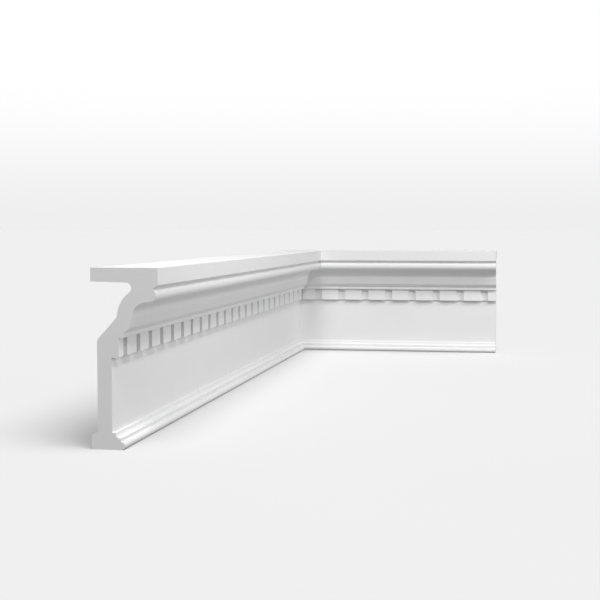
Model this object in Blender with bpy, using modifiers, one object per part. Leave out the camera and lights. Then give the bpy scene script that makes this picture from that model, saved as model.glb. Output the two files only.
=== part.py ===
"""Dentil wall moulding in two lengths that meet in a mitre at an inside corner.

The section is drawn with the wall at depth 0 and the underside at height 0. The left length runs
along the left wall, the right length along the right wall, and both turn the same face outwards.
"""
import math

import bmesh
import bpy
from mathutils import Matrix, Vector

# The two lengths, each measured along its wall to the corner
LEFT_LENGTH = 1.012
RIGHT_LENGTH = 0.354
MITRE_JOINT = 0.0003

# Rail at the bottom: an ovolo, a lip, a cavetto and a fillet
OVOLO_RADIUS = 0.0038
OVOLO_SWELL = 0.0002
LIP_HEIGHT = 0.0030
LIP_SETBACK = 0.0004
CAVETTO_RADIUS = 0.0044
RAIL_FILLET_HEIGHT = 0.0008
RAIL_FILLET_SETBACK = 0.0035

# Plain frieze, its face measured from the wall
FRIEZE_DEPTH = 0.0201
FRIEZE_HEIGHT = 0.0706

# Dentils: square blocks in a row, with open gaps down to the frieze
DENTIL_HEIGHT = 0.0178
DENTIL_PROUD = 0.0069
DENTIL_PITCH = 0.0400
DENTIL_GAP = 0.0115
GAP_DEPTH = 0.0042
GAP_HEAD = 0.0003
LEFT_END_DENTIL = 0.0150
RIGHT_END_DENTIL = 0.0138

# Fillet over the dentils, with the step that rises behind it
FILLET_PROUD = 0.0040
FILLET_UNDERSIDE_RISE = 0.0006
FILLET_HEIGHT = 0.0038
STEP_RISE = 0.0049
STEP_PROUD = 0.0058
STEP_EDGE_RADIUS = 0.0020

# Apron and cove
APRON_RISE = 0.0099
APRON_PROUD = 0.0030
COVE_RADIUS = 0.0149

# Ledge and bead over the cove
LEDGE_RISE = 0.0003
LEDGE_WIDTH = 0.0022
BEAD_RADIUS = 0.0063
QUIRK_BEARING = 67.5

# Fascia at the top
FASCIA_RISE = 0.0028
FASCIA_PROUD = 0.0018
FASCIA_HEIGHT = 0.0160

# Hollow back
FLANGE_BACK_HEIGHT = 0.0129
FLANGE_THICKNESS = 0.0136
COVE_WALL = 0.0144
INNER_CORNER_RADIUS = 0.0052
SLOPE_TOP_RISE = 0.0008
SLOPE_FALL = 0.0216
SLOPE_RADIUS = 0.0060
FRIEZE_WALL = 0.0141
RECESS_DRAFT = 0.0004
FOOT_BACK_HEIGHT = 0.0135
FOOT_RISE = 0.0034
FOOT_RADIUS = 0.0035

# Heights above the underside that the members stack up to
LIP_BOTTOM = 2 * OVOLO_RADIUS
CAVETTO_BOTTOM = LIP_BOTTOM + LIP_HEIGHT
CAVETTO_TOP = CAVETTO_BOTTOM + CAVETTO_RADIUS
RAIL_TOP = CAVETTO_TOP + RAIL_FILLET_HEIGHT
DENTIL_BOTTOM = RAIL_TOP + FRIEZE_HEIGHT
DENTIL_TOP = DENTIL_BOTTOM + DENTIL_HEIGHT
FILLET_BOTTOM = DENTIL_TOP + FILLET_UNDERSIDE_RISE
FILLET_TOP = FILLET_BOTTOM + FILLET_HEIGHT
APRON_BOTTOM = FILLET_TOP + STEP_RISE
COVE_CENTRE_HEIGHT = APRON_BOTTOM + APRON_RISE
BEAD_CENTRE_HEIGHT = COVE_CENTRE_HEIGHT + COVE_RADIUS + LEDGE_RISE + BEAD_RADIUS
FASCIA_BOTTOM = BEAD_CENTRE_HEIGHT + BEAD_RADIUS + FASCIA_RISE
HEIGHT = FASCIA_BOTTOM + FASCIA_HEIGHT

# Depths from the wall that the members step out to
RAIL_FILLET_DEPTH = FRIEZE_DEPTH + RAIL_FILLET_SETBACK
CAVETTO_CENTRE_DEPTH = RAIL_FILLET_DEPTH + CAVETTO_RADIUS
LIP_DEPTH = CAVETTO_CENTRE_DEPTH + LIP_SETBACK
OVOLO_CENTRE_DEPTH = LIP_DEPTH + OVOLO_SWELL
DENTIL_DEPTH = FRIEZE_DEPTH + DENTIL_PROUD
FILLET_DEPTH = DENTIL_DEPTH + FILLET_PROUD
APRON_BOTTOM_DEPTH = FILLET_DEPTH + STEP_PROUD
COVE_CENTRE_DEPTH = APRON_BOTTOM_DEPTH + APRON_PROUD + COVE_RADIUS
BEAD_CENTRE_DEPTH = COVE_CENTRE_DEPTH + LEDGE_WIDTH
DEPTH = BEAD_CENTRE_DEPTH + BEAD_RADIUS + FASCIA_PROUD
RECESS_DEPTH = FRIEZE_DEPTH - FRIEZE_WALL

# Fineness of the round stretches, and how far a cutter reaches past what it cuts
ARC_STEP = 15.0
CUTTER_REACH = 0.004
WELD_DISTANCE = 0.00001

# White primer
LEFT_SHADE = 0.80
RIGHT_SHADE = 0.82
PRIMER_ROUGHNESS = 0.62


def arc(centre, radius, start, end):
    """Points of an arc from one bearing to another, in degrees."""
    steps = max(2, round(abs(end - start) / ARC_STEP))
    bearings = [math.radians(start + (end - start) * i / steps) for i in range(steps + 1)]
    return [centre + radius * Vector((math.cos(b), math.sin(b))) for b in bearings]


def rounded(before, corner, after, radius):
    """Points of the arc that rounds the corner between two straight stretches."""
    towards = (before - corner).normalized()
    away = (after - corner).normalized()
    half = towards.angle(away) / 2
    centre = corner + (towards + away).normalized() * radius / math.sin(half)
    first = corner + towards * radius / math.tan(half) - centre
    last = corner + away * radius / math.tan(half) - centre
    start = math.degrees(math.atan2(first.y, first.x))
    sweep = math.degrees(math.atan2(first.cross(last), first.dot(last)))
    return arc(centre, radius, start, start + sweep)


def front_outline():
    """The face of the section, from the top of the wall side round to the underside."""
    bead_centre = Vector((BEAD_CENTRE_DEPTH, BEAD_CENTRE_HEIGHT))
    cove_centre = Vector((COVE_CENTRE_DEPTH, COVE_CENTRE_HEIGHT))
    cove_foot = cove_centre - Vector((COVE_RADIUS, 0.0))
    apron_foot = Vector((APRON_BOTTOM_DEPTH, APRON_BOTTOM))
    fillet_top = Vector((FILLET_DEPTH, FILLET_TOP))
    cavetto_centre = Vector((CAVETTO_CENTRE_DEPTH, CAVETTO_TOP))
    ovolo_centre = Vector((OVOLO_CENTRE_DEPTH, OVOLO_RADIUS))
    points = [Vector((0.0, HEIGHT)), Vector((DEPTH, HEIGHT)), Vector((DEPTH, FASCIA_BOTTOM))]
    points += arc(bead_centre, BEAD_RADIUS, QUIRK_BEARING, -90)
    points += arc(cove_centre, COVE_RADIUS, 90, 180)
    points += rounded(cove_foot, apron_foot, fillet_top, STEP_EDGE_RADIUS)
    points += [fillet_top, Vector((FILLET_DEPTH, FILLET_BOTTOM))]
    points += [Vector((DENTIL_DEPTH, DENTIL_TOP)), Vector((DENTIL_DEPTH, DENTIL_BOTTOM))]
    points += [Vector((FRIEZE_DEPTH, DENTIL_BOTTOM)), Vector((FRIEZE_DEPTH, RAIL_TOP))]
    points += [Vector((RAIL_FILLET_DEPTH, RAIL_TOP))]
    points += arc(cavetto_centre, CAVETTO_RADIUS, 180, 270)
    points += [Vector((LIP_DEPTH, CAVETTO_BOTTOM)), Vector((LIP_DEPTH, LIP_BOTTOM))]
    points += arc(ovolo_centre, OVOLO_RADIUS, 90, -90)
    return points


def back_outline():
    """The hollow back of the section, from the underside round to the top."""
    cove_centre = Vector((COVE_CENTRE_DEPTH, COVE_CENTRE_HEIGHT))
    cove_back = COVE_RADIUS + COVE_WALL
    corner_rise = HEIGHT - FLANGE_THICKNESS - INNER_CORNER_RADIUS - COVE_CENTRE_HEIGHT
    corner_reach = cove_back + INNER_CORNER_RADIUS
    bearing = math.pi - math.asin(corner_rise / corner_reach)
    inner_centre = cove_centre + corner_reach * Vector((math.cos(bearing), math.sin(bearing)))
    inner_bearing = math.degrees(bearing)
    foot = Vector((0.0, FOOT_BACK_HEIGHT))
    recess_foot = Vector((RECESS_DEPTH + RECESS_DRAFT, FOOT_BACK_HEIGHT + FOOT_RISE))
    slope_top = Vector((COVE_CENTRE_DEPTH - cove_back, COVE_CENTRE_HEIGHT + SLOPE_TOP_RISE))
    slope_foot = Vector((RECESS_DEPTH, slope_top.y - SLOPE_FALL))
    above_slope = Vector((slope_top.x, HEIGHT))
    points = [Vector((0.0, 0.0)), foot]
    points += rounded(foot, recess_foot, slope_foot, FOOT_RADIUS)
    points += rounded(recess_foot, slope_foot, slope_top, SLOPE_RADIUS)
    points += rounded(slope_foot, slope_top, above_slope, SLOPE_RADIUS)
    behind_cove = arc(cove_centre, cove_back, 180, inner_bearing)
    points += [p for p in behind_cove if p.y > points[-1].y]
    points += arc(inner_centre, INNER_CORNER_RADIUS, inner_bearing - 180, 90)[1:]
    points += [Vector((0.0, HEIGHT - FLANGE_BACK_HEIGHT))]
    return points


def new_collection(name, hidden):
    """A collection of the scene, kept out of renders when it holds cutters."""
    made = bpy.data.collections.new(name)
    bpy.context.scene.collection.children.link(made)
    made.hide_render = hidden
    return made


def painted_foam(name, shade):
    """White primer on rigid foam."""
    material = bpy.data.materials.new(name)
    material.use_nodes = True
    shader = material.node_tree.nodes["Principled BSDF"]
    shader.inputs["Base Color"].default_value = (shade, shade, shade, 1.0)
    shader.inputs["Roughness"].default_value = PRIMER_ROUGHNESS
    shader.inputs["Metallic"].default_value = 0.0
    return material


def bar(name, collection, run):
    """The section drawn out to a bar whose middle is at its own origin."""
    points = front_outline() + back_outline()
    curve = bpy.data.curves.new(name + "_outline", "CURVE")
    curve.dimensions = "2D"
    curve.fill_mode = "BOTH"
    curve.extrude = run / 2
    spline = curve.splines.new("POLY")
    spline.points.add(len(points) - 1)
    for place, point in zip(spline.points, points):
        place.co = (point.x, point.y, 0.0, 1.0)
    spline.use_cyclic_u = True
    drawn = bpy.data.objects.new(name + "_outline", curve)
    collection.objects.link(drawn)
    bpy.context.view_layer.update()
    graph = bpy.context.evaluated_depsgraph_get()
    mesh = bpy.data.meshes.new_from_object(drawn.evaluated_get(graph))
    bpy.data.objects.remove(drawn)
    bpy.data.curves.remove(curve)
    weld(mesh)
    solid = bpy.data.objects.new(name, mesh)
    collection.objects.link(solid)
    return solid


def weld(mesh):
    """Joins the caps of a drawn-out outline to its sides."""
    work = bmesh.new()
    work.from_mesh(mesh)
    bmesh.ops.remove_doubles(work, verts=work.verts, dist=WELD_DISTANCE)
    bmesh.ops.recalc_face_normals(work, faces=work.faces)
    work.to_mesh(mesh)
    work.free()


def cutter(name, collection, centre, turn):
    """A box one metre each way, to be brought to size, that is taken away from a length."""
    bpy.ops.mesh.primitive_cube_add(size=1.0, location=centre, rotation=(0.0, 0.0, turn))
    box = bpy.context.active_object
    box.name = name
    box.display_type = "WIRE"
    for held in box.users_collection:
        held.objects.unlink(box)
    collection.objects.link(box)
    return box


def cut(solid, tool, name):
    """Takes the cutter away from the solid."""
    step = solid.modifiers.new(name, "BOOLEAN")
    step.operation = "DIFFERENCE"
    step.solver = "EXACT"
    step.object = tool


def gap_row(name, collection, corner, along, outwards, length, end_dentil):
    """A row of boxes that open the gaps between dentils, one pitch apart, from the cut end inwards."""
    depth = GAP_DEPTH + CUTTER_REACH
    height = DENTIL_HEIGHT + GAP_HEAD + CUTTER_REACH
    first = length - end_dentil - DENTIL_GAP / 2
    centre = corner + along * first + outwards * (DENTIL_DEPTH - GAP_DEPTH + depth / 2)
    centre.z = DENTIL_TOP + GAP_HEAD - height / 2
    size = [abs(a) * DENTIL_GAP + abs(o) * depth for a, o in zip(along, outwards)]
    boxes = cutter(name, collection, centre, 0.0)
    boxes.data.transform(Matrix.Diagonal((size[0], size[1], height, 1.0)))
    row = boxes.modifiers.new("one pitch apart", "ARRAY")
    row.use_relative_offset = False
    row.use_constant_offset = True
    row.constant_offset_displace = along * -DENTIL_PITCH
    row.count = 1 + math.floor((first - DENTIL_GAP / 2 - DENTIL_DEPTH) / DENTIL_PITCH)
    return boxes


def mitre_box(name, collection, corner, outwards):
    """A box that takes off everything past the mitre plane through the wall corner."""
    side = 4 * DEPTH
    centre = corner + outwards * (side - MITRE_JOINT) / 2
    centre.z = HEIGHT / 2
    box = cutter(name, collection, centre, math.radians(45))
    box.data.transform(Matrix.Diagonal((side, side, 2 * HEIGHT, 1.0)))
    return box


def main():
    """Builds both lengths, with the middle of their footprint at the origin."""
    for old in list(bpy.data.objects):
        bpy.data.objects.remove(old)
    solids = new_collection("wall_moulding", False)
    tools = new_collection("cutters", True)
    corner = Vector((-RIGHT_LENGTH / 2, LEFT_LENGTH / 2, 0.0))
    right_wall = Vector((1.0, 0.0, 0.0))
    left_wall = Vector((0.0, -1.0, 0.0))
    mitre = (right_wall - left_wall).normalized()

    left = bar("left_length", solids, LEFT_LENGTH)
    left.rotation_euler = (math.radians(90), 0.0, 0.0)
    left.location = corner + left_wall * LEFT_LENGTH / 2
    left.data.materials.append(painted_foam("left_paint", LEFT_SHADE))
    gaps = gap_row("left_gaps", tools, corner, left_wall, right_wall, LEFT_LENGTH, LEFT_END_DENTIL)
    cut(left, gaps, "dentil gaps")
    cut(left, mitre_box("left_mitre", tools, corner, mitre), "mitre")

    right = bar("right_length", solids, RIGHT_LENGTH)
    right.rotation_euler = (math.radians(90), 0.0, math.radians(-90))
    right.location = corner + right_wall * RIGHT_LENGTH / 2
    right.data.materials.append(painted_foam("right_paint", RIGHT_SHADE))
    gaps = gap_row("right_gaps", tools, corner, right_wall, left_wall, RIGHT_LENGTH, RIGHT_END_DENTIL)
    cut(right, gaps, "dentil gaps")
    cut(right, mitre_box("right_mitre", tools, corner, -mitre), "mitre")


main()
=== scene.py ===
"""Looks of a primed dentil wall moulding: two lengths that meet in a mitre at an inside corner."""
import logging
import math
from dataclasses import dataclass, field
from enum import Enum

import bmesh
import bpy
from mathutils import Matrix, Vector


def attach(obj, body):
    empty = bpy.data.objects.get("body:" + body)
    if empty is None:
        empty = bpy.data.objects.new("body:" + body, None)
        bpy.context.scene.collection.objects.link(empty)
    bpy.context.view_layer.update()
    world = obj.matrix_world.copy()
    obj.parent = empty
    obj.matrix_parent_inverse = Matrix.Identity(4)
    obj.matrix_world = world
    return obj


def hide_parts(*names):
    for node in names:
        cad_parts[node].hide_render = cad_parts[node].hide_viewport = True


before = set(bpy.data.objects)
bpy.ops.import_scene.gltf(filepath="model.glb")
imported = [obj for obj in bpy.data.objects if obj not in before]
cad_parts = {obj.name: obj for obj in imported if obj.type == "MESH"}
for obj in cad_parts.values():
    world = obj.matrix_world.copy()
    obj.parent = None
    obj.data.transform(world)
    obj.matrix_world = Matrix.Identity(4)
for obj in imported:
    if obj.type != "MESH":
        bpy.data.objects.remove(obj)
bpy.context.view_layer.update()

LOG = logging.getLogger("wall_moulding")
LEFT_LENGTH = 1.012
RIGHT_LENGTH = 0.354
LEFT_END_DENTIL = 0.0150
RIGHT_END_DENTIL = 0.0138


class Wall(Enum):
    """The wall that a length runs along."""

    LEFT = "left"
    RIGHT = "right"

    @property
    def along(self) -> Vector:
        """Direction from the wall corner to the cut end."""
        return Vector((0.0, -1.0, 0.0)) if self is Wall.LEFT else Vector((1.0, 0.0, 0.0))

    @property
    def outwards(self) -> Vector:
        """Direction from the wall into the room."""
        return Vector((1.0, 0.0, 0.0)) if self is Wall.LEFT else Vector((0.0, -1.0, 0.0))


class Surface(Enum):
    """How a face of the moulding was finished."""

    PRIMED = 0
    SAWN = 1


class Shape(Enum):
    """What a socket of a node tree carries."""

    NUMBER = "NodeSocketInt"
    PLACE = "NodeSocketVector"
    PAINT = "NodeSocketMaterial"
    MESH = "NodeSocketGeometry"


@dataclass(frozen=True)
class Noise:
    """A soft random pattern: features for each metre, octaves, and how strong the finer octaves are."""

    scale: float
    detail: float
    rough: float


@dataclass(frozen=True)
class PrimerFinish:
    """Matte white primer on a moulded foam skin: a faint roller grain, soft mottling and flow lines."""

    name: str = "primer"
    shade: float = 0.80
    mottle: float = 0.020
    mottling: Noise = Noise(22.0, 4.0, 0.55)
    roughness: float = 0.60
    roughness_spread: float = 0.10
    dulling: Noise = Noise(60.0, 3.0, 0.6)
    grain: Noise = Noise(1500.0, 2.0, 0.5)
    grain_depth: float = 0.00003
    flow: Noise = Noise(1.0, 2.0, 0.5)
    flow_depth: float = 0.00004
    flows_along: float = 3.0
    flows_across: float = 90.0

    def material(self, wall: Wall) -> bpy.types.Material:
        """Makes the primer's material, its flow lines running along one wall.

        Args:
            wall: the wall that the length runs along.

        Returns:
            A material whose pattern lies on the piece's own coordinates.
        """
        board = MaterialBoard(f"{self.name}_{wall.value}")
        place = board.place()
        cloud = board.noise(place, self.mottling)
        tone = board.ramp(cloud, self.shade - self.mottle, self.shade + self.mottle)
        board.join(tone, board.shader.inputs["Base Color"])
        dull = board.noise(place, self.dulling)
        smoothest = self.roughness - self.roughness_spread
        dullest = self.roughness + self.roughness_spread
        board.join(board.span(dull, smoothest, dullest), board.shader.inputs["Roughness"])
        grain = board.noise(place, self.grain)
        stretch = [self.flows_along if part else self.flows_across for part in wall.along]
        flow = board.noise(board.stretch(place, stretch), self.flow)
        fine = board.bump(grain, self.grain_depth, None)
        board.join(board.bump(flow, self.flow_depth, fine), board.shader.inputs["Normal"])
        return board.material


@dataclass(frozen=True)
class SawnFinish:
    """A saw cut across rigid foam: tiny closed cells with the faint arcs of the saw."""

    name: str = "sawn_foam"
    shade: float = 0.74
    cell_contrast: float = 0.030
    roughness: float = 0.85
    cells_per_metre: float = 2600.0
    cell_depth: float = 0.00008
    saw_marks_per_metre: float = 420.0
    saw_waver: float = 1.5
    saw_octaves: float = 2.0
    saw_depth: float = 0.00005

    def material(self, wall: Wall) -> bpy.types.Material:
        """Makes the sawn foam's material.

        Args:
            wall: the wall that the length runs along.

        Returns:
            A material whose pattern lies on the piece's own coordinates.
        """
        board = MaterialBoard(f"{self.name}_{wall.value}")
        place = board.place()
        cells = board.cells(place, self.cells_per_metre)
        tone = board.ramp(cells, self.shade - self.cell_contrast, self.shade + self.cell_contrast)
        board.join(tone, board.shader.inputs["Base Color"])
        board.shader.inputs["Roughness"].default_value = self.roughness
        marks = board.rings(place, self.saw_marks_per_metre, self.saw_waver, self.saw_octaves)
        pitted = board.bump(cells, self.cell_depth, None)
        board.join(board.bump(marks, self.saw_depth, pitted), board.shader.inputs["Normal"])
        return board.material


class MaterialBoard:
    """A material's node tree, with a short call for each kind of node that the finishes use."""

    def __init__(self, name: str) -> None:
        """Starts a material with one shader.

        Args:
            name: the finish's name.
        """
        self.material = bpy.data.materials.new(name)
        self.material.use_nodes = True
        self.tree = self.material.node_tree
        self.shader = self.tree.nodes["Principled BSDF"]

    def join(self, start: bpy.types.NodeSocket, end: bpy.types.NodeSocket) -> None:
        """Links two sockets."""
        self.tree.links.new(start, end)

    def place(self) -> bpy.types.NodeSocket:
        """The piece's own coordinates, in metres."""
        return self.tree.nodes.new("ShaderNodeTexCoord").outputs["Object"]

    def stretch(self, place: bpy.types.NodeSocket, scale: list[float]) -> bpy.types.NodeSocket:
        """Scales coordinates differently along each axis.

        Args:
            place: the coordinates.
            scale: factors along X, Y and Z.

        Returns:
            The scaled coordinates.
        """
        mapping = self.tree.nodes.new("ShaderNodeMapping")
        mapping.inputs["Scale"].default_value = scale
        self.join(place, mapping.inputs["Vector"])
        return mapping.outputs["Vector"]

    def noise(self, place: bpy.types.NodeSocket, kind: Noise) -> bpy.types.NodeSocket:
        """Soft random noise.

        Args:
            place: the coordinates.
            kind: how coarse and how rough it is.

        Returns:
            The noise, from 0 to 1.
        """
        node = self.tree.nodes.new("ShaderNodeTexNoise")
        node.inputs["Scale"].default_value = kind.scale
        node.inputs["Detail"].default_value = kind.detail
        node.inputs["Roughness"].default_value = kind.rough
        self.join(place, node.inputs["Vector"])
        return node.outputs["Fac"]

    def cells(self, place: bpy.types.NodeSocket, scale: float) -> bpy.types.NodeSocket:
        """Rounded random cells.

        Args:
            place: the coordinates.
            scale: cells for each metre.

        Returns:
            The distance from each cell's middle.
        """
        node = self.tree.nodes.new("ShaderNodeTexVoronoi")
        node.inputs["Scale"].default_value = scale
        self.join(place, node.inputs["Vector"])
        return node.outputs["Distance"]

    def rings(
        self, place: bpy.types.NodeSocket, scale: float, waver: float, octaves: float
    ) -> bpy.types.NodeSocket:
        """Wavering rings, as a round saw leaves.

        Args:
            place: the coordinates.
            scale: rings for each metre.
            waver: how far they stray.
            octaves: how fine the straying is.

        Returns:
            The rings' height, from 0 to 1.
        """
        node = self.tree.nodes.new("ShaderNodeTexWave")
        node.wave_type = "RINGS"
        node.rings_direction = "SPHERICAL"
        node.inputs["Scale"].default_value = scale / (2 * math.pi)
        node.inputs["Distortion"].default_value = waver
        node.inputs["Detail"].default_value = octaves
        self.join(place, node.inputs["Vector"])
        return node.outputs["Fac"]

    def span(self, value: bpy.types.NodeSocket, low: float, high: float) -> bpy.types.NodeSocket:
        """Spreads a value from 0 to 1 over a range.

        Args:
            value: the value.
            low: what 0 becomes.
            high: what 1 becomes.

        Returns:
            The spread value.
        """
        node = self.tree.nodes.new("ShaderNodeMapRange")
        node.inputs["To Min"].default_value = low
        node.inputs["To Max"].default_value = high
        self.join(value, node.inputs["Value"])
        return node.outputs["Result"]

    def ramp(self, value: bpy.types.NodeSocket, dark: float, light: float) -> bpy.types.NodeSocket:
        """Turns a value into a grey between two shades.

        Args:
            value: the value, from 0 to 1.
            dark: the shade at 0.
            light: the shade at 1.

        Returns:
            The colour.
        """
        node = self.tree.nodes.new("ShaderNodeValToRGB")
        node.color_ramp.elements[0].color = (dark, dark, dark, 1.0)
        node.color_ramp.elements[1].color = (light, light, light, 1.0)
        self.join(value, node.inputs["Fac"])
        return node.outputs["Color"]

    def bump(
        self, height: bpy.types.NodeSocket, depth: float, under: bpy.types.NodeSocket | None
    ) -> bpy.types.NodeSocket:
        """Raises a surface by a height.

        Args:
            height: the height, from 0 to 1.
            depth: what 1 is in metres.
            under: the relief that this one lies on, if any.

        Returns:
            The surface's normal.
        """
        node = self.tree.nodes.new("ShaderNodeBump")
        node.inputs["Strength"].default_value = 1.0
        node.inputs["Distance"].default_value = depth
        self.join(height, node.inputs["Height"])
        if under is not None:
            self.join(under, node.inputs["Normal"])
        return node.outputs["Normal"]


@dataclass(frozen=True)
class Section:
    """The moulding's cut section, with the wall at depth 0 and the underside at height 0."""

    ovolo_radius: float = 0.0038
    ovolo_swell: float = 0.0002
    lip_height: float = 0.0030
    lip_setback: float = 0.0004
    cavetto_radius: float = 0.0044
    rail_fillet_height: float = 0.0008
    rail_fillet_setback: float = 0.0035
    frieze_depth: float = 0.0201
    frieze_height: float = 0.0706
    dentil_height: float = 0.0178
    dentil_proud: float = 0.0069
    gap_depth: float = 0.0042
    fillet_proud: float = 0.0040
    fillet_underside_rise: float = 0.0006
    fillet_height: float = 0.0038
    step_rise: float = 0.0049
    step_proud: float = 0.0058
    step_edge_radius: float = 0.0050
    apron_rise: float = 0.0099
    apron_proud: float = 0.0030
    cove_radius: float = 0.0149
    ledge_rise: float = 0.0003
    ledge_width: float = 0.0022
    bead_radius: float = 0.0063
    quirk_bearing: float = 67.5
    fascia_rise: float = 0.0028
    fascia_proud: float = 0.0018
    fascia_height: float = 0.0160
    flange_back_height: float = 0.0129
    flange_thickness: float = 0.0136
    cove_wall: float = 0.0144
    inner_corner_radius: float = 0.0052
    slope_top_rise: float = 0.0008
    slope_fall: float = 0.0216
    slope_radius: float = 0.0060
    frieze_wall: float = 0.0141
    recess_draft: float = 0.0004
    foot_back_height: float = 0.0135
    foot_rise: float = 0.0034
    foot_radius: float = 0.0035
    arris: float = 0.0003
    small_arris: float = 0.0002
    hollow: float = 0.0004
    arc_step: float = 5.0
    fewest_arc_steps: int = 3

    @property
    def rail_top(self) -> float:
        """Height of the rail's top edge."""
        return 2 * self.ovolo_radius + self.lip_height + self.cavetto_radius + self.rail_fillet_height

    @property
    def dentil_bottom(self) -> float:
        """Height of the dentils' underside."""
        return self.rail_top + self.frieze_height

    @property
    def dentil_top(self) -> float:
        """Height where the dentils meet the fillet above."""
        return self.dentil_bottom + self.dentil_height

    @property
    def fillet_top(self) -> float:
        """Height of the fillet's top edge."""
        return self.dentil_top + self.fillet_underside_rise + self.fillet_height

    @property
    def cove_centre(self) -> Vector:
        """Centre of the cove."""
        depth = self.fillet_depth + self.step_proud + self.apron_proud + self.cove_radius
        return Vector((depth, self.fillet_top + self.step_rise + self.apron_rise))

    @property
    def bead_centre(self) -> Vector:
        """Centre of the bead."""
        rise = self.cove_radius + self.ledge_rise + self.bead_radius
        return self.cove_centre + Vector((self.ledge_width, rise))

    @property
    def fascia_bottom(self) -> float:
        """Height of the fascia's lower edge."""
        return self.bead_centre.y + self.bead_radius + self.fascia_rise

    @property
    def height(self) -> float:
        """Height of the whole section."""
        return self.fascia_bottom + self.fascia_height

    @property
    def depth(self) -> float:
        """Depth of the whole section."""
        return self.bead_centre.x + self.bead_radius + self.fascia_proud

    @property
    def dentil_depth(self) -> float:
        """Depth of the dentils' faces."""
        return self.frieze_depth + self.dentil_proud

    @property
    def strip_depth(self) -> float:
        """Depth of the strip that backs the gaps between dentils."""
        return self.dentil_depth - self.gap_depth

    @property
    def fillet_depth(self) -> float:
        """Depth of the fillet's face."""
        return self.dentil_depth + self.fillet_proud

    def arc(self, centre: Vector, radius: float, start: float, end: float) -> list[Vector]:
        """Points of an arc.

        Args:
            centre: the arc's centre.
            radius: its radius.
            start: the first bearing, in degrees.
            end: the last bearing, in degrees.

        Returns:
            The points, ends included.
        """
        steps = max(self.fewest_arc_steps, round(abs(end - start) / self.arc_step))
        bearings = [math.radians(start + (end - start) * i / steps) for i in range(steps + 1)]
        return [centre + radius * Vector((math.cos(b), math.sin(b))) for b in bearings]

    def rounded(self, before: Vector, corner: Vector, after: Vector, radius: float) -> list[Vector]:
        """Points of the arc that rounds a corner.

        Args:
            before: the point before the corner.
            corner: the corner.
            after: the point after it.
            radius: the arc's radius.

        Returns:
            The points, in order.
        """
        towards = (before - corner).normalized()
        away = (after - corner).normalized()
        half = towards.angle(away) / 2
        centre = corner + (towards + away).normalized() * radius / math.sin(half)
        first = corner + towards * radius / math.tan(half) - centre
        last = corner + away * radius / math.tan(half) - centre
        start = math.degrees(math.atan2(first.y, first.x))
        sweep = math.degrees(math.atan2(first.cross(last), first.dot(last)))
        return self.arc(centre, radius, start, start + sweep)

    def front(self) -> list[tuple[Vector, float]]:
        """The face from the fascia's top down to the underside.

        Returns:
            Corner points, each with the radius that softens it.
        """
        step = Vector((self.fillet_depth + self.step_proud, self.fillet_top + self.step_rise))
        lip_bottom = 2 * self.ovolo_radius
        cavetto_top = self.rail_top - self.rail_fillet_height
        cavetto = Vector((self.frieze_depth + self.rail_fillet_setback, cavetto_top))
        cavetto_centre = cavetto + Vector((self.cavetto_radius, 0.0))
        lip = cavetto_centre.x + self.lip_setback
        ovolo_centre = Vector((lip + self.ovolo_swell, self.ovolo_radius))
        points = [(Vector((self.depth, self.height)), self.arris)]
        points += [(Vector((self.depth, self.fascia_bottom)), self.arris)]
        points += [(p, 0.0) for p in self.arc(self.bead_centre, self.bead_radius, self.quirk_bearing, -90)]
        points += [(p, 0.0) for p in self.arc(self.cove_centre, self.cove_radius, 90, 180)]
        points += [(step, self.step_edge_radius)]
        points += [(Vector((self.fillet_depth, self.fillet_top)), self.small_arris)]
        points += [(Vector((self.fillet_depth, self.fillet_top - self.fillet_height)), self.small_arris)]
        points += [(Vector((self.dentil_depth, self.dentil_top)), 0.0)]
        points += [(Vector((self.strip_depth, self.dentil_top)), self.hollow)]
        points += [(Vector((self.strip_depth, self.dentil_bottom)), self.small_arris)]
        points += [(Vector((self.frieze_depth, self.dentil_bottom)), self.hollow)]
        points += [(Vector((self.frieze_depth, self.rail_top)), self.hollow)]
        points += [(Vector((cavetto.x, self.rail_top)), self.small_arris)]
        points += [(p, 0.0) for p in self.arc(cavetto_centre, self.cavetto_radius, 180, 270)]
        points += [(Vector((lip, cavetto.y - self.cavetto_radius)), self.small_arris / 2)]
        points += [(Vector((lip, lip_bottom)), 0.0)]
        points += [(p, 0.0) for p in self.arc(ovolo_centre, self.ovolo_radius, 90, -90)]
        return points

    def back(self) -> list[tuple[Vector, float]]:
        """The hollow back from the underside up to the top.

        Returns:
            Corner points, each with the radius that softens it.
        """
        reach = self.cove_radius + self.cove_wall
        rise = self.height - self.flange_thickness - self.inner_corner_radius - self.cove_centre.y
        corner_reach = reach + self.inner_corner_radius
        bearing = math.pi - math.asin(rise / corner_reach)
        inner_centre = self.cove_centre + corner_reach * Vector((math.cos(bearing), math.sin(bearing)))
        inner = math.degrees(bearing)
        recess = self.frieze_depth - self.frieze_wall
        slope_top = Vector((self.cove_centre.x - reach, self.cove_centre.y + self.slope_top_rise))
        slope_foot = Vector((recess, slope_top.y - self.slope_fall))
        foot = Vector((recess + self.recess_draft, self.foot_back_height + self.foot_rise))
        # The arc behind the cove starts above the rounding at the slope's top.
        lowest = slope_top.y + self.slope_radius / 2
        points = [(Vector((0.0, 0.0)), self.arris), (Vector((0.0, self.foot_back_height)), self.arris)]
        points += [(foot, self.foot_radius), (slope_foot, self.slope_radius), (slope_top, self.slope_radius)]
        points += [(p, 0.0) for p in self.arc(self.cove_centre, reach, 180, inner) if p.y > lowest]
        points += [(p, 0.0) for p in self.arc(inner_centre, self.inner_corner_radius, inner - 180, 90)[1:]]
        points += [(Vector((0.0, self.height - self.flange_back_height)), self.arris)]
        points += [(Vector((0.0, self.height)), self.arris)]
        return points

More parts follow.
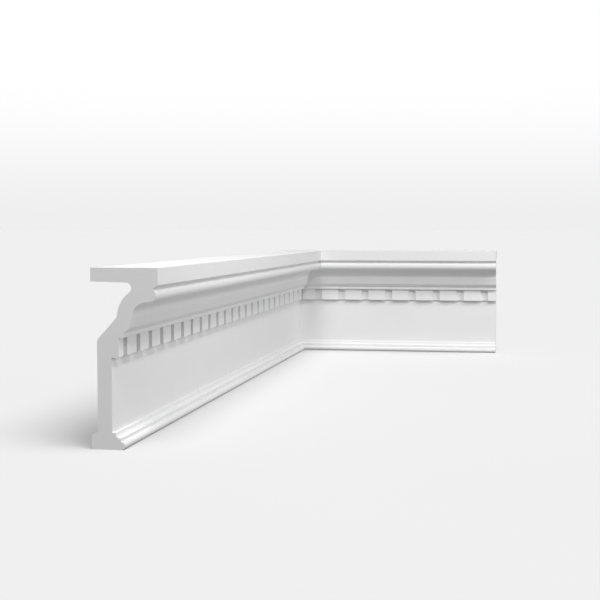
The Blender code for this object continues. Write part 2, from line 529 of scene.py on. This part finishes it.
    def outline(self) -> list[Vector]:
        """The whole closed outline, with every corner softened.

        Returns:
            Points in order round the section.
        """
        corners = self.front() + self.back()
        points: list[Vector] = []
        for i, (corner, radius) in enumerate(corners):
            if radius == 0.0:
                points.append(corner)
                continue
            before = corners[i - 1][0]
            after = corners[(i + 1) % len(corners)][0]
            points += self.rounded(before, corner, after, radius)
        return points


@dataclass
class NodeTree:
    """A geometry node tree under construction, with named inputs."""

    name: str
    inputs: dict[str, Shape]
    sockets: dict[str, str] = field(default_factory=dict)

    def __post_init__(self) -> None:
        """Makes the tree with its interface."""
        self.tree = bpy.data.node_groups.new(self.name, "GeometryNodeTree")
        self.tree.is_modifier = True
        for title, shape in self.inputs.items():
            made = self.tree.interface.new_socket(title, in_out="INPUT", socket_type=shape.value)
            self.sockets[title] = made.identifier
        self.tree.interface.new_socket("Mesh", in_out="OUTPUT", socket_type=Shape.MESH.value)
        self.entry = self.tree.nodes.new("NodeGroupInput")
        self.exit = self.tree.nodes.new("NodeGroupOutput")

    def add(self, kind: str, **links: object) -> bpy.types.Node:
        """Adds a node.

        Args:
            kind: the node's type.
            links: for each input, named with underscores for spaces, a socket to link or a value to set.

        Returns:
            The node.
        """
        node = self.tree.nodes.new(kind)
        for title, what in links.items():
            socket = node.inputs[title.replace("_", " ")]
            if isinstance(what, bpy.types.NodeSocket):
                self.tree.links.new(what, socket)
            else:
                socket.default_value = what
        return node

    def end(self, mesh: bpy.types.NodeSocket, paint: bpy.types.NodeSocket) -> None:
        """Ends the tree in Realize Instances and Set Material.

        Args:
            mesh: the geometry.
            paint: the material.
        """
        real = self.add("GeometryNodeRealizeInstances", Geometry=mesh)
        painted = self.add("GeometryNodeSetMaterial", Geometry=real.outputs["Geometry"], Material=paint)
        self.tree.links.new(painted.outputs["Geometry"], self.exit.inputs["Mesh"])

    def put_on(self, piece: bpy.types.Object, values: dict[str, object]) -> bpy.types.Modifier:
        """Puts the tree on an object as a modifier.

        Args:
            piece: the object.
            values: a value for each named input.

        Returns:
            The modifier.
        """
        modifier = piece.modifiers.new(self.name, "NODES")
        modifier.node_group = self.tree
        for title, value in values.items():
            modifier[self.sockets[title]] = value
        return modifier


def bar_tree() -> NodeTree:
    """The tree that draws a filled section out into a closed bar.

    Returns:
        The tree, with the inputs Mesh, Run and Paint.
    """
    merge_distance = 0.000001
    made = NodeTree("drawn_bar", {"Mesh": Shape.MESH, "Run": Shape.PLACE, "Paint": Shape.PAINT})
    section = made.entry.outputs["Mesh"]
    run = made.entry.outputs["Run"]
    drawn = made.add("GeometryNodeExtrudeMesh", Mesh=section, Offset=run, Offset_Scale=1.0, Individual=False)
    near = made.add("GeometryNodeFlipFaces", Mesh=section)
    both = made.tree.nodes.new("GeometryNodeJoinGeometry")
    made.tree.links.new(drawn.outputs["Mesh"], both.inputs[0])
    made.tree.links.new(near.outputs["Mesh"], both.inputs[0])
    joined = both.outputs["Geometry"]
    closed = made.add("GeometryNodeMergeByDistance", Geometry=joined, Distance=merge_distance)
    made.end(closed.outputs["Geometry"], made.entry.outputs["Paint"])
    return made


def dentil_tree() -> NodeTree:
    """The tree that sets one block out in a row, one pitch apart.

    Returns:
        The tree, with the inputs Mesh, Start, Step, Count and Paint.
    """
    inputs = {"Mesh": Shape.MESH, "Start": Shape.PLACE, "Step": Shape.PLACE, "Count": Shape.NUMBER}
    made = NodeTree("dentil_row", {**inputs, "Paint": Shape.PAINT})
    block = made.entry.outputs["Mesh"]
    line = made.tree.nodes.new("GeometryNodeMeshLine")
    line.mode = "OFFSET"
    made.tree.links.new(made.entry.outputs["Count"], line.inputs["Count"])
    made.tree.links.new(made.entry.outputs["Start"], line.inputs["Start Location"])
    made.tree.links.new(made.entry.outputs["Step"], line.inputs["Offset"])
    row = made.add("GeometryNodeInstanceOnPoints", Points=line.outputs["Mesh"], Instance=block)
    made.end(row.outputs["Instances"], made.entry.outputs["Paint"])
    return made


@dataclass
class Workshop:
    """Where pieces are made: the trees that they share and the collection that they go in."""

    collection: bpy.types.Collection
    bar: NodeTree
    dentils: NodeTree

    def hold(self, name: str, mesh: bpy.types.Mesh) -> bpy.types.Object:
        """Puts a mesh in the collection as an object at the origin.

        Args:
            name: the object's name.
            mesh: its mesh.

        Returns:
            The object.
        """
        piece = bpy.data.objects.new(name, mesh)
        self.collection.objects.link(piece)
        return piece

    def settle(self, piece: bpy.types.Object, name: str) -> bpy.types.Object:
        """Turns an object with modifiers into a plain mesh object.

        Args:
            piece: the object, which is removed.
            name: the new object's name.

        Returns:
            The plain object.
        """
        bpy.context.view_layer.update()
        graph = bpy.context.evaluated_depsgraph_get()
        mesh = bpy.data.meshes.new_from_object(piece.evaluated_get(graph))
        mesh.name = name
        bpy.data.objects.remove(piece)
        return self.hold(name, mesh)


@dataclass
class MouldingRun:
    """One length of the moulding, from the mitre at the wall corner to its square cut end."""

    node: str
    wall: Wall
    length: float
    end_dentil: float
    corner: Vector
    section: Section = field(default_factory=Section)
    dentil_pitch: float = 0.0400
    dentil_gap: float = 0.0115
    dentil_arris: float = 0.00045
    dentil_arris_steps: int = 3
    dentil_drop: float = 0.00015
    block_root: float = 0.0030
    block_head: float = 0.0030
    mitre_joint: float = 0.0001
    overrun: float = 0.0400
    merge_distance: float = 0.000002
    smooth_below: float = 32.0
    area_weight: int = 100
    primer: PrimerFinish = field(default_factory=PrimerFinish)
    sawn: SawnFinish = field(default_factory=SawnFinish)

    def point(self, run: float, depth: float, height: float) -> Vector:
        """A place on this length.

        Args:
            run: distance from the wall corner along the wall.
            depth: distance from the wall.
            height: height above the underside.

        Returns:
            The point in the shared frame.
        """
        return self.corner + self.wall.along * run + self.wall.outwards * depth + Vector((0.0, 0.0, height))

    def section_face(self) -> bpy.types.Mesh:
        """The section as one filled face, behind the wall corner.

        Returns:
            The mesh.
        """
        mesh = bpy.data.meshes.new("section")
        work = bmesh.new()
        corners = [work.verts.new(self.point(-self.overrun, p.x, p.y)) for p in self.section.outline()]
        face = work.faces.new(corners)
        face.normal_update()
        if face.normal.dot(self.wall.along) < 0:
            face.normal_flip()
        work.to_mesh(mesh)
        work.free()
        return mesh

    def block_mesh(self) -> bpy.types.Mesh:
        """One dentil block with soft edges, its near side at the wall corner.

        Returns:
            The mesh.
        """
        width = self.dentil_pitch - self.dentil_gap
        low = self.section.dentil_bottom - self.dentil_drop
        high = self.section.dentil_top + self.block_head
        back = self.section.strip_depth - self.block_root
        front = self.section.dentil_depth
        corner_a = self.point(0.0, back, low)
        corner_b = self.point(width, front, high)
        mesh = bpy.data.meshes.new("dentil")
        work = bmesh.new()
        bmesh.ops.create_cube(work, size=1.0)
        size = [abs(b - a) for a, b in zip(corner_a, corner_b)]
        middle = (corner_a + corner_b) / 2
        placed = Matrix.Translation(middle) @ Matrix.Diagonal((*size, 1.0))
        bmesh.ops.transform(work, matrix=placed, verts=work.verts)
        bmesh.ops.bevel(
            work, geom=work.edges[:], offset=self.dentil_arris, segments=self.dentil_arris_steps,
            profile=0.5, affect="EDGES",
        )
        work.to_mesh(mesh)
        work.free()
        return mesh

    def trim_mesh(self) -> bpy.types.Mesh:
        """A prism in plan that keeps what lies between the mitre and the square cut.

        Returns:
            The mesh, all of its faces sawn.
        """
        joint = self.mitre_joint / math.sqrt(2)
        reach = 2 * self.section.depth
        plan = [(joint - reach, -reach), (joint + reach, reach), (self.length, reach), (self.length, -reach)]
        mesh = bpy.data.meshes.new("trim")
        work = bmesh.new()
        foot = [work.verts.new(self.point(run, depth, -reach)) for run, depth in plan]
        head = [work.verts.new(self.point(run, depth, self.section.height + reach)) for run, depth in plan]
        work.faces.new(foot)
        work.faces.new(head)
        for i in range(len(plan)):
            j = (i + 1) % len(plan)
            work.faces.new((foot[i], foot[j], head[j], head[i]))
        bmesh.ops.recalc_face_normals(work, faces=work.faces)
        for face in work.faces:
            face.material_index = Surface.SAWN.value
        work.to_mesh(mesh)
        work.free()
        return mesh

    def paints(self) -> list[bpy.types.Material]:
        """The two finishes' materials, in the order of Surface."""
        return [self.primer.material(self.wall), self.sawn.material(self.wall)]

    def build(self, shop: Workshop) -> bpy.types.Object:
        """Makes the length as one closed mesh.

        Args:
            shop: where it is made.

        Returns:
            The finished object.
        """
        primed, sawn = self.paints()
        along = self.wall.along
        bar = shop.hold(self.node + "_bar", self.section_face())
        shop.bar.put_on(bar, {"Run": along * (self.length + 2 * self.overrun), "Paint": primed})

        row = shop.hold(self.node + "_dentils", self.block_mesh())
        count = 2 + math.ceil(self.length / self.dentil_pitch)
        first = along * (self.length - self.end_dentil)
        values = {"Start": first, "Step": along * -self.dentil_pitch, "Count": count, "Paint": primed}
        shop.dentils.put_on(row, values)

        trim = shop.hold(self.node + "_trim", self.trim_mesh())
        trim.data.materials.append(primed)
        trim.data.materials.append(sawn)
        for tool, operation in ((row, "UNION"), (trim, "INTERSECT")):
            step = bar.modifiers.new(operation.lower(), "BOOLEAN")
            step.operation = operation
            step.solver = "EXACT"
            step.material_mode = "TRANSFER"
            step.object = tool
        piece = shop.settle(bar, self.node + "_moulding")
        bpy.data.objects.remove(row)
        bpy.data.objects.remove(trim)
        return self.smooth(shop, piece)

    def smooth(self, shop: Workshop, piece: bpy.types.Object) -> bpy.types.Object:
        """Shades round stretches smooth and keeps flat ones flat.

        Args:
            shop: where it is made.
            piece: the length.

        Returns:
            The length with its normals weighed by area.
        """
        work = bmesh.new()
        work.from_mesh(piece.data)
        bmesh.ops.remove_doubles(work, verts=work.verts, dist=self.merge_distance)
        bmesh.ops.dissolve_degenerate(work, edges=work.edges, dist=self.merge_distance)
        open_edges = sum(1 for edge in work.edges if len(edge.link_faces) != 2)
        work.to_mesh(piece.data)
        work.free()
        for polygon in piece.data.polygons:
            polygon.use_smooth = True
        piece.data.set_sharp_from_angle(angle=math.radians(self.smooth_below))
        weigh = piece.modifiers.new("weigh", "WEIGHTED_NORMAL")
        weigh.mode = "FACE_AREA"
        weigh.weight = self.area_weight
        weigh.keep_sharp = True
        LOG.info("%s: %d faces, %d open edges", self.node, len(piece.data.polygons), open_edges)
        return shop.settle(piece, piece.name)

    def hand_over(self, piece: bpy.types.Object) -> None:
        """Lets the piece stand for its solid.

        Args:
            piece: the finished length.
        """
        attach(piece, "root")
        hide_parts(self.node)
        LOG.info("%s stands for %s", piece.name, self.node)


@dataclass(frozen=True)
class FloorFinish:
    """A plain pale paper floor."""

    name: str = "floor"
    shade: float = 0.60
    mottle: float = 0.004
    mottling: Noise = Noise(3.0, 2.0, 0.5)
    roughness: float = 0.95
    gloss: float = 0.0

    def material(self) -> bpy.types.Material:
        """Makes the floor's material, with a trace of mottling.

        Returns:
            The material.
        """
        board = MaterialBoard(self.name)
        cloud = board.noise(board.place(), self.mottling)
        tone = board.ramp(cloud, self.shade - self.mottle, self.shade + self.mottle)
        board.join(tone, board.shader.inputs["Base Color"])
        board.shader.inputs["Roughness"].default_value = self.roughness
        board.shader.inputs["Specular IOR Level"].default_value = self.gloss
        return board.material


def hang_lamp(data: bpy.types.Light, towards: Vector, lit: bpy.types.Collection) -> bpy.types.Object:
    """Hangs a light in the scene.

    Args:
        data: the light.
        towards: the direction that it shines in.
        lit: what it lights.

    Returns:
        The light's object, at the origin.
    """
    lamp = bpy.data.objects.new(data.name, data)
    lamp.rotation_euler = towards.to_track_quat("-Z", "Y").to_euler()
    lamp.light_linking.receiver_collection = lit
    bpy.context.scene.collection.objects.link(lamp)
    return lamp


@dataclass(frozen=True)
class SoftBox:
    """A square studio light that stands near the moulding."""

    name: str
    place: Vector
    side: float
    watts: float
    target: Vector = field(default_factory=lambda: Vector((-0.05, 0.10, 0.08)))

    def hang(self, lit: bpy.types.Collection) -> None:
        """Hangs the light, turned towards its target.

        Args:
            lit: what it lights.
        """
        data = bpy.data.lights.new(self.name, "AREA")
        data.shape = "SQUARE"
        data.size = self.side
        data.energy = self.watts
        lamp = hang_lamp(data, self.target - self.place, lit)
        lamp.location = self.place
        lamp.visible_camera = False


@dataclass(frozen=True)
class FarLight:
    """A soft light far away, the same all over what it lights. Its source is a direction."""

    name: str
    source: Vector
    spread: float
    strength: float

    def hang(self, lit: bpy.types.Collection) -> None:
        """Hangs the light.

        Args:
            lit: what it lights.
        """
        data = bpy.data.lights.new(self.name, "SUN")
        data.angle = math.radians(self.spread)
        data.energy = self.strength
        hang_lamp(data, -self.source, lit)


@dataclass(frozen=True)
class PaleBackdrop:
    """The white surroundings: what is seen of them, and the weak light that they give."""

    horizon: float = 0.86
    above: float = 1.0
    fade: float = 0.12
    glow: float = 0.292

    def hang(self) -> None:
        """Makes the scene's world."""
        world = bpy.data.worlds.new("backdrop")
        world.use_nodes = True
        tree = world.node_tree
        background = tree.nodes["Background"]
        background.inputs["Color"].default_value = (1.0, 1.0, 1.0, 1.0)
        direction = tree.nodes.new("ShaderNodeTexCoord")
        axes = tree.nodes.new("ShaderNodeSeparateXYZ")
        tree.links.new(direction.outputs["Generated"], axes.inputs["Vector"])
        seen = tree.nodes.new("ShaderNodeMapRange")
        seen.interpolation_type = "SMOOTHSTEP"
        seen.inputs["From Max"].default_value = self.fade
        seen.inputs["To Min"].default_value = self.horizon
        seen.inputs["To Max"].default_value = self.above
        tree.links.new(axes.outputs["Z"], seen.inputs["Value"])
        ray = tree.nodes.new("ShaderNodeLightPath")
        strength = tree.nodes.new("ShaderNodeMapRange")
        strength.inputs["To Min"].default_value = self.glow
        tree.links.new(ray.outputs["Is Camera Ray"], strength.inputs["Value"])
        tree.links.new(seen.outputs["Result"], strength.inputs["To Max"])
        tree.links.new(strength.outputs["Result"], background.inputs["Strength"])
        bpy.context.scene.world = world


@dataclass
class Studio:
    """The floor, the light and the camera."""

    corner: Vector
    moulding: bpy.types.Collection
    floor_half: float = 300.0
    floor_squares: int = 4
    camera_place: Vector = field(default_factory=lambda: Vector((0.39276, -2.10592, 0.20515)))
    camera_yaw: float = 10.10
    camera_pitch: float = 3.26
    focal_pixels: float = 1235.0
    image_pixels: float = 600.0
    sensor: float = 36.0
    farthest_seen: float = 1000.0

    def floor(self) -> bpy.types.Collection:
        """Lays the floor at the moulding's underside.

        Returns:
            The collection that holds it.
        """
        mesh = bpy.data.meshes.new("floor")
        work = bmesh.new()
        squares = self.floor_squares
        bmesh.ops.create_grid(work, x_segments=squares, y_segments=squares, size=self.floor_half)
        work.to_mesh(mesh)
        work.free()
        floor = bpy.data.objects.new("floor", mesh)
        floor.visible_diffuse = False
        ground = bpy.data.collections.new("ground")
        ground.objects.link(floor)
        bpy.context.scene.collection.children.link(ground)
        mesh.materials.append(FloorFinish().material())
        return ground

    def lights(self, ground: bpy.types.Collection) -> None:
        """Hangs the soft lights.

        Args:
            ground: the collection that holds the floor.
        """
        near = (
            SoftBox("high_front", place=Vector((0.0, -1.3, 1.2)), side=0.30, watts=6.5),
            SoftBox("overhead", place=Vector((0.3, -0.4, 0.7)), side=0.06, watts=1.45),
            SoftBox("low_right", place=Vector((1.2, -0.3, 0.4)), side=0.12, watts=3.4),
            SoftBox("high_right", place=Vector((1.2, 0.0, 0.8)), side=0.12, watts=4.1),
        )
        far = (
            FarLight("front", source=Vector((0.0, -1.0, 1.0)), spread=20.0, strength=0.60),
            FarLight("front_right", source=Vector((0.643, -0.766, 1.0)), spread=4.0, strength=0.57),
            FarLight("behind", source=Vector((-0.2, 1.0, 0.8)), spread=60.0, strength=0.80),
        )
        for light in near + far:
            light.hang(self.moulding)
        wash = FarLight("floor_wash", source=Vector((0.35, -0.30, 1.0)), spread=55.0, strength=4.0)
        wash.hang(ground)

    def camera(self) -> None:
        """Stands the camera where the photograph was taken."""
        data = bpy.data.cameras.new("camera")
        data.sensor_width = self.sensor
        data.lens = self.focal_pixels / self.image_pixels * self.sensor
        data.clip_end = self.farthest_seen
        camera = bpy.data.objects.new("camera", data)
        camera.location = self.corner + self.camera_place
        pitch = math.radians(90.0 - self.camera_pitch)
        camera.rotation_euler = (pitch, 0.0, math.radians(self.camera_yaw))
        bpy.context.scene.collection.objects.link(camera)
        bpy.context.scene.camera = camera

    def build(self) -> None:
        """Sets up the whole studio."""
        self.lights(self.floor())
        PaleBackdrop().hang()
        self.camera()
        bpy.context.scene.view_settings.view_transform = "Standard"
        LOG.info("studio ready")


def main() -> None:
    """Builds both lengths and the studio."""
    logging.basicConfig(level=logging.INFO, format="%(name)s: %(message)s")
    corner = Vector((-RIGHT_LENGTH / 2, LEFT_LENGTH / 2, 0.0))
    collection = bpy.data.collections.new("wall_moulding")
    bpy.context.scene.collection.children.link(collection)
    shop = Workshop(collection, bar_tree(), dentil_tree())
    runs = (
        MouldingRun("left_length", Wall.LEFT, LEFT_LENGTH, LEFT_END_DENTIL, corner),
        MouldingRun("right_length", Wall.RIGHT, RIGHT_LENGTH, RIGHT_END_DENTIL, corner),
    )
    for run in runs:
        run.hand_over(run.build(shop))
    Studio(corner, collection).build()


if __name__ == "__main__":
    main()
